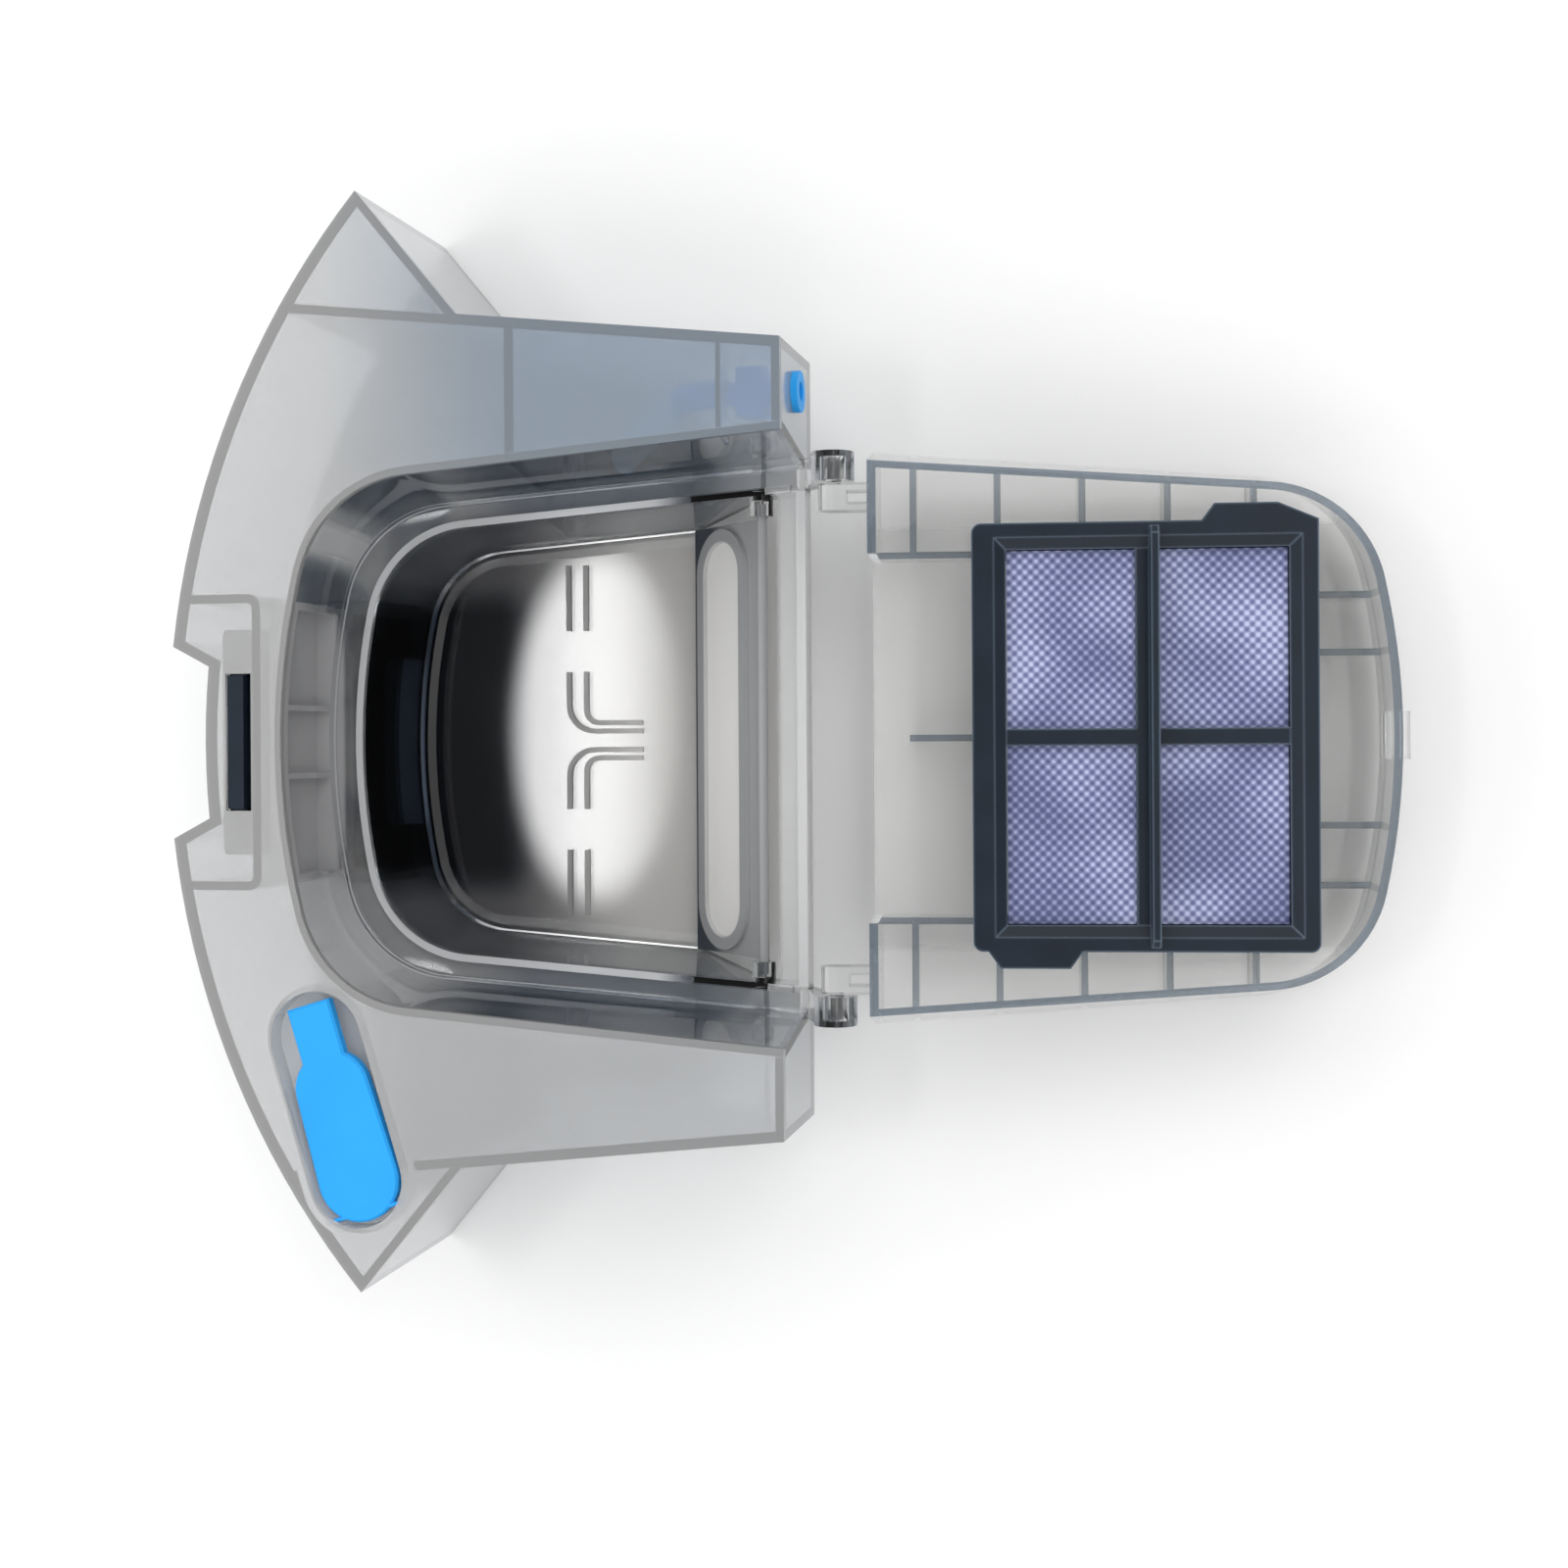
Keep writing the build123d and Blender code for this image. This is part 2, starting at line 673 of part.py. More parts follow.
with BuildPart() as lid_shell:
    loft(
        sections=(
            u_contour(LID.offset(lid_outer), recess_top, near, -lid_clearance),
            u_contour(LID.offset(lid_rim), recess_foot, near, -lid_clearance),
        ),
        ruled=True,
    )
    add(lid_space.part, mode=Mode.SUBTRACT)
    # Outlet for the clean air in the hinge end
    with BuildSketch(LID.offset(lid_outer + lid_plate)):
        with Locations((near, 0)):
            Rectangle(4 * lid_wall, 2 * outlet_half - rib_thickness)
    extrude(amount=lid_rim - lid_outer, mode=Mode.SUBTRACT)
    add(lid_ribs.part)
    with BuildSketch(LID.offset(latch_tab_top - latch_tab_height)):
        with Locations((lid_far + latch_tab_reach, 0)):
            Rectangle(2 * latch_tab_reach, 2 * latch_tab_half, align=(Align.MAX, Align.CENTER))
    extrude(amount=latch_tab_height)
    for side in (-1, 1):
        # Hinge arm and stub pin
        arm_width = boss_inner_y - arm_gap - arm_inner_y
        ARM = Plane(origin=LID.origin, x_dir=LID.x_dir, z_dir=(0, side, 0))
        with BuildSketch(ARM.offset(arm_inner_y)):
            Circle(arm_radius)
            Rectangle(near + lid_wall / 2, 2 * arm_radius, align=(Align.MIN, Align.CENTER))
        extrude(amount=arm_width)
        with BuildSketch(LID.offset(-2 * arm_radius)):
            with Locations((arm_radius, side * (arm_inner_y + arm_width / 2))):
                Rectangle(near - arm_radius, arm_slot, align=(Align.MIN, Align.CENTER))
        extrude(amount=4 * arm_radius, mode=Mode.SUBTRACT)
        with BuildSketch(ARM.offset(arm_inner_y + arm_width)):
            Circle(hinge_pin_radius)
        extrude(amount=arm_gap + boss_width - boss_end_wall - pin_end_gap)
lid_shell.part.label = "lid_shell"
export_step(lid_shell.part, "parts/lid_shell.step")

# Filter: black frame with bevelled borders, two ears and a pull fin on its cross bar
inner_near = filter_near + border_near
inner_far = filter_far - border_far
inner_length = inner_far - inner_near
inner_half = filter_half - border_side
inner_middle = (inner_near + inner_far) / 2
filter_middle = filter_near + filter_length / 2
grid_low = filter_top - filter_grid
grid_top = filter_top - grid_sink
ear_half = filter_half + ear_reach
far_ear_start = filter_far - far_ear_length
near_ear_x = filter_near + near_ear_start
near_ear_end = near_ear_x + near_ear_length

with BuildPart() as filter_frame:
    with BuildSketch(LID.offset(filter_low)):
        with Locations((filter_middle, 0)):
            RectangleRounded(filter_length, 2 * filter_half, filter_corner)
    extrude(amount=filter_depth)
    with BuildSketch(LID.offset(grid_low)):
        Polygon(
            (far_ear_start, 0),
            (far_ear_start, filter_half),
            (far_ear_start + ear_slant, ear_half),
            (filter_far - far_ear_corner, ear_half),
            (filter_far, filter_half),
            (filter_far, 0),
            align=None,
        )
        Polygon(
            (near_ear_x, 0),
            (near_ear_x, -filter_half),
            (near_ear_x + ear_slant, -ear_half),
            (near_ear_end - ear_slant, -ear_half),
            (near_ear_end, -filter_half),
            (near_ear_end, 0),
            align=None,
        )
    extrude(amount=filter_grid)
    with BuildSketch(LID.offset(filter_low)):
        with Locations((inner_middle, 0)):
            Rectangle(inner_length, 2 * inner_half)
    extrude(amount=filter_depth, mode=Mode.SUBTRACT)
    with BuildSketch(LID.offset(grid_top)) as bevel_foot:
        with Locations((inner_middle, 0)):
            Rectangle(inner_length, 2 * inner_half)
    with BuildSketch(LID.offset(filter_top)) as bevel_mouth:
        with Locations((inner_middle, 0)):
            Rectangle(inner_length + 2 * border_bevel, 2 * (inner_half + border_bevel))
    loft(mode=Mode.SUBTRACT)
    with BuildSketch(LID.offset(grid_low)):
        with Locations((inner_middle, 0)):
            Rectangle(inner_length, middle_bar)
            Rectangle(cross_bar, 2 * inner_half)
    extrude(amount=grid_top - grid_low)
    FIN = Plane(origin=LID.origin, x_dir=(0, 1, 0), z_dir=LID.x_dir)
    fin_half = filter_half - fin_end_gap
    fin_top = filter_top + fin_rise
    with BuildSketch(FIN.offset(inner_middle + cross_bar / 2 - fin_thickness)):
        Polygon(
            (-fin_half, grid_low),
            (-fin_half, fin_top - fin_chamfer),
            (-fin_half + fin_chamfer, fin_top),
            (fin_half - fin_chamfer, fin_top),
            (fin_half, fin_top - fin_chamfer),
            (fin_half, grid_low),
            align=None,
        )
    extrude(amount=fin_thickness)
filter_frame.part.label = "filter_frame"
export_step(filter_frame.part, "parts/filter_frame.step")

# Mesh sheet under the grid, pleated paper below it and the seal below the frame
with BuildPart() as filter_mesh:
    with BuildSketch(LID.offset(grid_low - mesh_thickness)):
        with Locations((inner_middle, 0)):
            Rectangle(inner_length - 2 * mesh_gap, 2 * (inner_half - mesh_gap))
    extrude(amount=mesh_thickness)
filter_mesh.part.label = "filter_mesh"
export_step(filter_mesh.part, "parts/filter_mesh.step")

media_top = grid_low - mesh_thickness
media_low = filter_low + media_clearance
pleat_count = int((inner_length - 2 * media_clearance) / pleat_pitch)
pleat_start = inner_middle - pleat_count * pleat_pitch / 2
PLEAT = Plane(origin=LID.origin, x_dir=LID.x_dir, z_dir=(0, -1, 0))

with BuildPart() as filter_media:
    with BuildSketch(PLEAT.offset(-inner_half + media_clearance)):
        with BuildLine():
            upper = []
            lower = []
            for fold in range(2 * pleat_count + 1):
                place = pleat_start + fold * pleat_pitch / 2
                upper.append((place, media_top if fold % 2 == 0 else media_low + 2 * pleat_sheet))
                lower.append((place, media_top - 2 * pleat_sheet if fold % 2 == 0 else media_low))
            Polyline(*upper, *reversed(lower), close=True)
        make_face()
    extrude(amount=2 * (inner_half - media_clearance))
filter_media.part.label = "filter_media"
export_step(filter_media.part, "parts/filter_media.step")

with BuildPart() as filter_gasket:
    with BuildSketch(LID.offset(seat_top)):
        with Locations((filter_middle, 0)):
            RectangleRounded(filter_length, 2 * (outlet_half + gasket_width / 2), filter_corner)
            Rectangle(
                filter_length - 2 * gasket_width,
                2 * (outlet_half - gasket_width / 2),
                mode=Mode.SUBTRACT,
            )
    extrude(amount=gasket_thickness)
filter_gasket.part.label = "filter_gasket"
export_step(filter_gasket.part, "parts/filter_gasket.step")

# Inlet flap: hangs from two stub pins against the inside of the sloping front
FLAP_PIN = Plane(origin=flap_axis, x_dir=(1, 0, 0), z_dir=(0, 1, 0))

with BuildPart() as inlet_flap:
    with BuildSketch(FLAP.offset(-flap_thickness / 2)):
        Rectangle(2 * flap_half, flap_length, align=(Align.CENTER, Align.MIN))
    extrude(amount=flap_thickness)
    with BuildSketch(FLAP.offset(flap_thickness / 2)):
        with Locations((0, flap_length / 2 + flap_barrel)):
            SlotOverall(flap_ring_length, flap_ring_height)
            SlotOverall(
                flap_ring_length - 2 * flap_ring_width,
                flap_ring_height - 2 * flap_ring_width,
                mode=Mode.SUBTRACT,
            )
    extrude(amount=flap_ring_rise)
    with BuildSketch(FLAP_PIN):
        Circle(flap_barrel)
    extrude(amount=flap_half, both=True)
    with BuildSketch(FLAP_PIN):
        Circle(flap_pin_radius)
    extrude(amount=flap_half + flap_pin_length, both=True)
inlet_flap.part.label = "inlet_flap"
export_step(inlet_flap.part, "parts/inlet_flap.step")

# Water outlet: soft seal in the front wall, connector behind it and the pick-up hose
OUTLET = Plane(origin=(front_x, outlet_y, outlet_z), x_dir=(0, 1, 0), z_dir=(-1, 0, 0))
connector_start = tank_wall + seal_flange_thickness
connector_end = connector_start + connector_length

with BuildPart() as outlet_seal:
    with BuildSketch(OUTLET.offset(-seal_flange_thickness)):
        Circle(seal_flange)
    extrude(amount=seal_flange_thickness)
    with BuildSketch(OUTLET):
        Circle(seal_neck)
    extrude(amount=tank_wall)
    with BuildSketch(OUTLET.offset(tank_wall)):
        Circle(seal_flange)
    extrude(amount=seal_flange_thickness)
    with BuildSketch(OUTLET.offset(-seal_flange_thickness)):
        Circle(outlet_bore)
    extrude(amount=connector_start + seal_flange_thickness, mode=Mode.SUBTRACT)
outlet_seal.part.label = "outlet_seal"
export_step(outlet_seal.part, "parts/outlet_seal.step")

with BuildPart() as hose_connector:
    with BuildSketch(OUTLET.offset(connector_start)):
        Circle(connector_radius)
    extrude(amount=connector_length)
    with BuildSketch(OUTLET.offset(connector_start + collar_start)):
        RectangleRounded(2 * collar_half, 2 * seal_flange, collar_corner)
    extrude(amount=collar_length)
    with BuildSketch(OUTLET.offset(connector_start)):
        Circle(outlet_bore / 2)
    extrude(amount=connector_length, mode=Mode.SUBTRACT)
hose_connector.part.label = "hose_connector"
export_step(hose_connector.part, "parts/hose_connector.step")

hose_start = (front_x - connector_end, outlet_y, outlet_z)
hose_lead = (hose_start[0] - hose_lead_length, outlet_y, outlet_z)
hose_end = (hose_end_x, hose_end_y, tank_floor + hose_floor_gap)

with BuildPart() as suction_hose:
    with BuildLine() as hose_line:
        FilletPolyline(hose_start, hose_lead, hose_end, radius=hose_bend_radius)
    with BuildSketch(OUTLET.offset(connector_end)):
        Circle(hose_radius)
    sweep()
suction_hose.part.label = "suction_hose"
export_step(suction_hose.part, "parts/suction_hose.step")

# Release slider: black block in the dry pocket, its hook comes up through the cover and
# two arms below carry a plate along the rear wall of the bin
slider_rear_x = notch_corner_x + tank_wall + slider_gap
plate_gap = slider_travel + slider_gap
wall_low_x = hinge_x - bin_floor[2] - bin_wall
wall_lean = (mouth[2] - bin_floor[2]) / ledge_z
plate_low_x = wall_low_x - wall_lean * slider_base_z - plate_gap
plate_high_x = wall_low_x - wall_lean * plate_high - plate_gap

with BuildPart() as release_slider:
    with BuildSketch(Plane.XY.offset(slider_base_z)):
        with Locations((slider_rear_x, 0)):
            Rectangle(slider_thickness, 2 * slider_half, align=(Align.MIN, Align.CENTER))
    extrude(amount=body_height - slider_gap - slider_base_z)
    fillet(release_slider.edges().filter_by(Axis.X), radius=slider_corner)
    with BuildSketch(Plane.XY.offset(body_height - slider_gap)):
        with Locations((hook_x - hook_slot_length / 2 + slider_gap, 0)):
            Rectangle(
                hook_length,
                2 * (hook_slot_half - slider_gap),
                align=(Align.MIN, Align.CENTER),
            )
    extrude(amount=cover_thickness + slider_gap)
    with BuildSketch(Plane.YZ.offset(slider_rear_x)):
        with Locations((0, (press_low + press_high) / 2)):
            RectangleRounded(2 * press_half, press_high - press_low, press_corner)
    extrude(amount=-press_reach)
    with BuildSketch(Plane.YZ.offset(slider_rear_x + slider_thickness)):
        with Locations((0, slider_base_z + slider_window_height)):
            RectangleRounded(2 * slider_window_half, slider_window_height, slider_window_corner)
    extrude(amount=-slider_window_depth, mode=Mode.SUBTRACT)
    with BuildSketch(Plane.XZ):
        Polygon(
            (plate_low_x, slider_base_z),
            (plate_high_x, plate_high),
            (plate_high_x - plate_thickness, plate_high),
            (plate_low_x - plate_thickness, slider_base_z),
            align=None,
        )
    extrude(amount=plate_half, both=True)
    with BuildSketch(Plane.YZ.offset(plate_low_x)):
        with Locations((0, plate_window_high)):
            RectangleRounded(
                2 * plate_window_half,
                2 * (plate_window_high - slider_base_z),
                plate_window_corner,
                align=(Align.CENTER, Align.MAX),
            )
    extrude(amount=4 * plate_thickness, both=True, mode=Mode.SUBTRACT)
    with BuildSketch(Plane.XY.offset(slider_base_z)):
        for side in (-1, 1):
            with Locations((slider_rear_x, side * slider_arm_y)):
                Rectangle(
                    plate_low_x - plate_thickness / 2 - slider_rear_x,
                    slider_arm_width,
                    align=(Align.MIN, Align.CENTER),
                )
    extrude(amount=slider_arm_height)
release_slider.part.label = "release_slider"
export_step(release_slider.part, "parts/release_slider.step")
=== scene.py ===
import json
import math

import bpy
from mathutils import Matrix, Vector

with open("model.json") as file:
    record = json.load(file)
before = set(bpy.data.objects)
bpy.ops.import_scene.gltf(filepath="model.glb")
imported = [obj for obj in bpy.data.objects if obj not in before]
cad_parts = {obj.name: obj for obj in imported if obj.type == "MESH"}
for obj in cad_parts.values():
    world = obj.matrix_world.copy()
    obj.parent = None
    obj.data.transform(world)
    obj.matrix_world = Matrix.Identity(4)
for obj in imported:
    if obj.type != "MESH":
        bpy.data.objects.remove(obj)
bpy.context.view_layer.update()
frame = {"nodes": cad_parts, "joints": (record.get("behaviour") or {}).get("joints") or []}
nodes = frame["nodes"]
scene = bpy.context.scene
joints = {joint["name"]: joint for joint in frame["joints"]}

MM_PER_M = 1000.0
REAR, FRONT, LEFT, UP = (-1, 0, 0), (1, 0, 0), (0, 1, 0), (0, 0, 1)
CLEAR_IOR = 1.46
SOFT_IOR = 1.41


def feed(owner, value, socket):
    """Set an input to a plain value, or link it to an output."""
    if isinstance(value, bpy.types.NodeSocket):
        owner.node_tree.links.new(value, socket)
    else:
        socket.default_value = value


def add_node(owner, kind, operation=None, **inputs):
    """New node in a material, world or lamp, with its inputs fed by name, where _ stands for a space."""
    node = owner.node_tree.nodes.new(kind)
    if operation:
        node.operation = operation
    for name, value in inputs.items():
        feed(owner, value, node.inputs[name.replace("_", " ")])
    return node


def unary(owner, operation, value):
    """Sine, square root and the like of one value."""
    node = add_node(owner, "ShaderNodeMath", operation)
    feed(owner, value, node.inputs[0])
    return node.outputs["Value"]


def maths(owner, operation, *values):
    """Sum, product and the like of values, each an output or a number."""
    result = values[0]
    for value in values[1:]:
        node = add_node(owner, "ShaderNodeMath", operation)
        feed(owner, result, node.inputs[0])
        feed(owner, value, node.inputs[1])
        result = node.outputs["Value"]
    return result


def distance(owner, *offsets):
    """Length of a vector given by its offsets."""
    squares = [maths(owner, "MULTIPLY", offset, offset) for offset in offsets]
    return unary(owner, "SQRT", maths(owner, "ADD", *squares))


def vector_maths(owner, operation, first, second):
    """Node that takes two vectors, each an output or plain numbers."""
    node = add_node(owner, "ShaderNodeVectorMath", operation)
    feed(owner, first, node.inputs[0])
    feed(owner, second, node.inputs[1])
    return node


def dot(owner, first, second):
    """Dot product of two vectors."""
    return vector_maths(owner, "DOT_PRODUCT", first, second).outputs["Value"]


def spread(owner, value, low, high, start=0.0, end=1.0):
    """A value from start to end turned into low to high."""
    node = add_node(owner, "ShaderNodeMapRange", Value=value, From_Min=start, From_Max=end)
    feed(owner, low, node.inputs["To Min"])
    feed(owner, high, node.inputs["To Max"])
    return node.outputs["Result"]


def fade(owner, value, start, end):
    """Soft step: 0 at the start, 1 at the end."""
    node = add_node(owner, "ShaderNodeMapRange", Value=value, From_Min=start, From_Max=end)
    node.interpolation_type = "SMOOTHSTEP"
    return node.outputs["Result"]


def band(owner, value, low, high, soft):
    """1 from low to high, with a soft edge outside each."""
    rising = fade(owner, value, low - soft, low)
    return maths(owner, "MULTIPLY", rising, fade(owner, value, high + soft, high))


def colour_ramp(owner, value, stops):
    """Colours at positions from 0 to 1, two or more."""
    node = add_node(owner, "ShaderNodeValToRGB", Fac=value)
    elements = node.color_ramp.elements
    for element, (position, colour) in zip(elements, (stops[0], stops[-1])):
        element.position = position
        element.color = (*colour, 1.0)
    for position, colour in stops[1:-1]:
        elements.new(position).color = (*colour, 1.0)
    return node.outputs["Color"]


def object_place(mat):
    """Position on the piece, in metres."""
    node = mat.node_tree.nodes.get("place")
    if node is None:
        node = add_node(mat, "ShaderNodeTexCoord")
        node.name = "place"
    return node.outputs["Object"]


def noise(mat, scale, detail):
    """Noise over the piece, with its scale per metre."""
    node = add_node(mat, "ShaderNodeTexNoise", Vector=object_place(mat), Scale=scale, Detail=detail)
    return node.outputs["Fac"]


def along(mat, heading, origin=(0, 0, 0)):
    """Distance from a point along a direction, in millimetres."""
    start = Vector(origin).dot(Vector(heading))
    reach = maths(mat, "MULTIPLY", dot(mat, object_place(mat), heading), MM_PER_M)
    return maths(mat, "SUBTRACT", reach, start)


def off_centre(mat):
    """Distance from the middle plane to either side, in millimetres."""
    return unary(mat, "ABSOLUTE", along(mat, LEFT))


def joint_place(name):
    """Where a joint turns, in millimetres."""
    return [MM_PER_M * value for value in joints[name]["pos_m"]]


def shader_input(mat, name):
    """Input of the material's one shader."""
    return mat.node_tree.nodes["Principled BSDF"].inputs[name]


def material(name, colour, roughness, **sockets):
    """Node material on one Principled shader, with plain values on its own sockets."""
    mat = bpy.data.materials.new(name)
    mat.use_nodes = True
    shader_input(mat, "Base Color").default_value = (*colour, 1.0)
    shader_input(mat, "Roughness").default_value = roughness
    for socket, value in sockets.items():
        shader_input(mat, socket.replace("_", " ")).default_value = value
    return mat


def mottle(mat, scale, tint_share, rough_step):
    """Slight unevenness of a moulding in colour and gloss."""
    cloud = noise(mat, scale, detail=3.0)
    base = shader_input(mat, "Base Color")
    dark = [value * (1.0 - tint_share) for value in base.default_value[:3]]
    light = [min(1.0, value * (1.0 + tint_share)) for value in base.default_value[:3]]
    feed(mat, colour_ramp(mat, cloud, ((0.3, dark), (0.7, light))), base)
    rough = shader_input(mat, "Roughness")
    smooth = max(0.0, rough.default_value - rough_step)
    feed(mat, spread(mat, cloud, smooth, min(1.0, rough.default_value + rough_step)), rough)
    return mat


def grain(mat, scale, strength):
    """Fine relief of a moulded or soft surface."""
    height = noise(mat, scale, detail=2.0)
    relief = add_node(mat, "ShaderNodeBump", Strength=strength, Distance=0.0002, Height=height)
    feed(mat, relief.outputs["Normal"], shader_input(mat, "Normal"))
    return mat


def absorb(mat, colour, density):
    """Smoke tint that grows with the length of the way through the plastic."""
    volume = add_node(mat, "ShaderNodeVolumeAbsorption", Color=(*colour, 1.0), Density=density)
    feed(mat, volume.outputs["Volume"], mat.node_tree.nodes["Material Output"].inputs["Volume"])
    return mat


def shaded(mat, colour, *shares):
    """Another tint where the product of the shares is 1, for a material that is mottled already."""
    base = shader_input(mat, "Base Color")
    mix = add_node(mat, "ShaderNodeMix")
    mix.data_type = "RGBA"
    factor, first, second = mix.inputs[0], mix.inputs[6], mix.inputs[7]
    feed(mat, maths(mat, "MULTIPLY", *shares), factor)
    feed(mat, base.links[0].from_socket, first)
    feed(mat, (*colour, 1.0), second)
    feed(mat, mix.outputs[2], base)
    return mat


def edge_painted_highlight(mat, colour, radius):
    """Painted highlight along the edges, as wide as the radius in metres."""
    rounded = add_node(mat, "ShaderNodeBevel", Radius=radius)
    rounded.samples = 4
    normal = add_node(mat, "ShaderNodeNewGeometry").outputs["Normal"]
    agreement = dot(mat, rounded.outputs["Normal"], normal)
    return shaded(mat, colour, fade(mat, agreement, 0.995, 0.93))


def tank_smoke():
    """Smoked tank, slightly frosted."""
    mat = material("tank_smoke", (0.87, 0.89, 0.91), 0.14, Transmission_Weight=0.74, IOR=CLEAR_IOR)
    mottle(mat, scale=30, tint_share=0.02, rough_step=0.02)
    return absorb(mat, (0.50, 0.57, 0.64), density=35)


# Where the cover changes its tint, from the start to the full tint, in millimetres
COVER_PALER_X = (20.0, -55.0)
COVER_PAINTED_REFLECTION_X = (-40.0, 15.0)
COVER_PAINTED_REFLECTION_Y = (42.0, 62.0)


def cover_frost():
    """Frosted cover, paler to the rear, with a painted bluish reflection on the wing over the hose."""
    mat = material("cover_frost", (0.86, 0.87, 0.88), 0.12, Transmission_Weight=0.69, IOR=CLEAR_IOR)
    mottle(mat, scale=22, tint_share=0.03, rough_step=0.04)
    absorb(mat, (0.55, 0.60, 0.66), density=40)
    forward = along(mat, FRONT)
    shaded(mat, (0.97, 0.97, 0.965), fade(mat, forward, *COVER_PALER_X))
    # Painted bluish reflection on the wing
    wing = fade(mat, along(mat, LEFT), *COVER_PAINTED_REFLECTION_Y)
    return shaded(mat, (0.60, 0.69, 0.79), wing, fade(mat, forward, *COVER_PAINTED_REFLECTION_X))


# Places on the bin, in millimetres: a pair is where a tint starts and where it is full
# Heights
LEDGE_Z = 25.5
LIP_TOP_Z = LEDGE_Z + 1.2
FLOOR_RIB_Z = 2.3
RECESS_Z = (LEDGE_Z - 2.5, LEDGE_Z + 0.5)
RECESS_WALL_Z = (LIP_TOP_Z + 0.8, LIP_TOP_Z + 1.3)
# Distances from the middle plane
PAINTED_SHADOW_REAR_Y = (38.0, 28.0)
PLATE_WINDOW_Y = (19.5, 18.5)
FLOOR_RIBS_Y = (40.8, 40.3)
LATCH_POCKET_Y = (29.8, 29.4)
SILL_Y = (52.8, 52.2)
# Distances towards the rear
FLOOR_PAINTED_SHADE = (-22.0, 16.0)
PAINTED_SHADOW_REAR = (4.0, 14.0)
PLATE_WINDOW = (30.0, 31.0)
LATCH_POCKET = (40.0, 42.0)
SIDES_DARKER_FROM_REAR = (16.0, -4.0)
SIDES_DARKER_FROM_HINGE = (-52.0, -40.0)
SILL = (-56.0, -57.5)
LIP_SHINES = (-40.0, -30.0)
CORNERS_PALE = (8.0, 32.0)
# Bands between two heights or two distances towards the rear
PLATE_WINDOW_BAND = (4.0, 12.0)
FLOOR_RIB_TOP_BAND = (FLOOR_RIB_Z - 0.15, FLOOR_RIB_Z + 0.1)
FLOOR_RIBS_BAND = (-22.5, -2.0)
LEDGE_BAND = (LEDGE_Z - 0.1, LEDGE_Z + 0.2)
LIP_BAND = (LIP_TOP_Z - 0.4, LIP_TOP_Z + 0.1)
# Painted reflection streaks: how they are drawn out along X, Y and Z, and the levels of their noise
STREAK_SHAPE = (1.0, 1.0, 0.12)
DARK_STREAKS = (0.50, 0.62)
PALE_STREAKS = (0.56, 0.44)
# Shares of haze, which paints highlights and light, how clear the plastic is where the haze is full, and
# the gloss of the floor's ribs
LEDGE_HIGHLIGHT_HAZE = 0.3
CORNER_REFLECTION_HAZE = 0.6
SILL_PAINTED_LIGHT_HAZE = 0.7
HAZY_CLEARNESS = 0.45
FLOOR_RIB_ROUGHNESS = 0.5


def shade_bin_floor(mat, rearward, sideways, height):
    """Below the ledge the bin is pale in front, with painted shade darkening the floor towards the rear
    and a painted shadow black at the rear, and the release plate's window.
    """
    pale_front, painted_shade_floor, painted_shadow_black = (0.93, 0.92, 0.90), (0.36, 0.36, 0.37), (0.03, 0.045, 0.07)
    bluish_window = (0.32, 0.36, 0.46)
    low = fade(mat, height, *reversed(RECESS_Z))
    shaded(mat, pale_front, low)
    # Painted shade darkens the floor towards the rear, and a painted shadow makes it black at the rear
    shaded(mat, painted_shade_floor, low, fade(mat, rearward, *FLOOR_PAINTED_SHADE))
    shaded(mat, painted_shadow_black, low, fade(mat, rearward, *PAINTED_SHADOW_REAR), fade(mat, sideways, *PAINTED_SHADOW_REAR_Y))
    window = fade(mat, rearward, *PLATE_WINDOW)
    upright = band(mat, height, *PLATE_WINDOW_BAND, soft=1.0)
    shaded(mat, bluish_window, window, fade(mat, sideways, *PLATE_WINDOW_Y), upright)


def dull_floor_ribs(mat, rearward, sideways, height):
    """The ribs on the bin's floor have less gloss."""
    top = band(mat, height, *FLOOR_RIB_TOP_BAND, soft=0.2)
    field = band(mat, rearward, *FLOOR_RIBS_BAND, soft=0.5)
    dullness = maths(mat, "MULTIPLY", top, field, fade(mat, sideways, *FLOOR_RIBS_Y), FLOOR_RIB_ROUGHNESS)
    rough = shader_input(mat, "Roughness")
    feed(mat, maths(mat, "MAXIMUM", rough.links[0].from_socket, dullness), rough)


